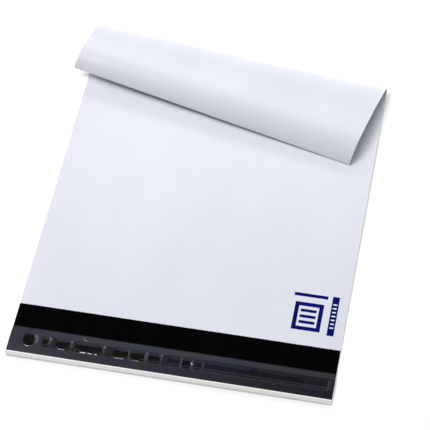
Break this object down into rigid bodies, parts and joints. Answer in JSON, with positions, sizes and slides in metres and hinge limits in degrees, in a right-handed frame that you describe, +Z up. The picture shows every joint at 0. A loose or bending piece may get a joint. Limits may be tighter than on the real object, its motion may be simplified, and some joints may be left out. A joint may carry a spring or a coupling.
{
  "type": "poly mailer bag",
  "caption": "Flat film mailing bag with a flap, an adhesive closure under a peel-off liner, and its closed end curled over onto its front.",
  "frame": {"origin": "on the underside, below the bag's centre line, halfway along the part that lies flat", "axes": "+Y along the bag from its mouth to its closed end, +Z up out of the front panel, +X to the right seen from the mouth"},
  "size_m": [0.24, 0.2899, 0.0141],
  "materials": {
    "film": "soft gloss white film outside, black film inside",
    "adhesive": "clear amber hot-melt, tacky",
    "liner": "dark translucent release film over black"
  },
  "bodies": {
    "root": {"film_bag": "film", "adhesive_strip": "adhesive", "release_liner": "liner"}
  },
  "joints": []
}
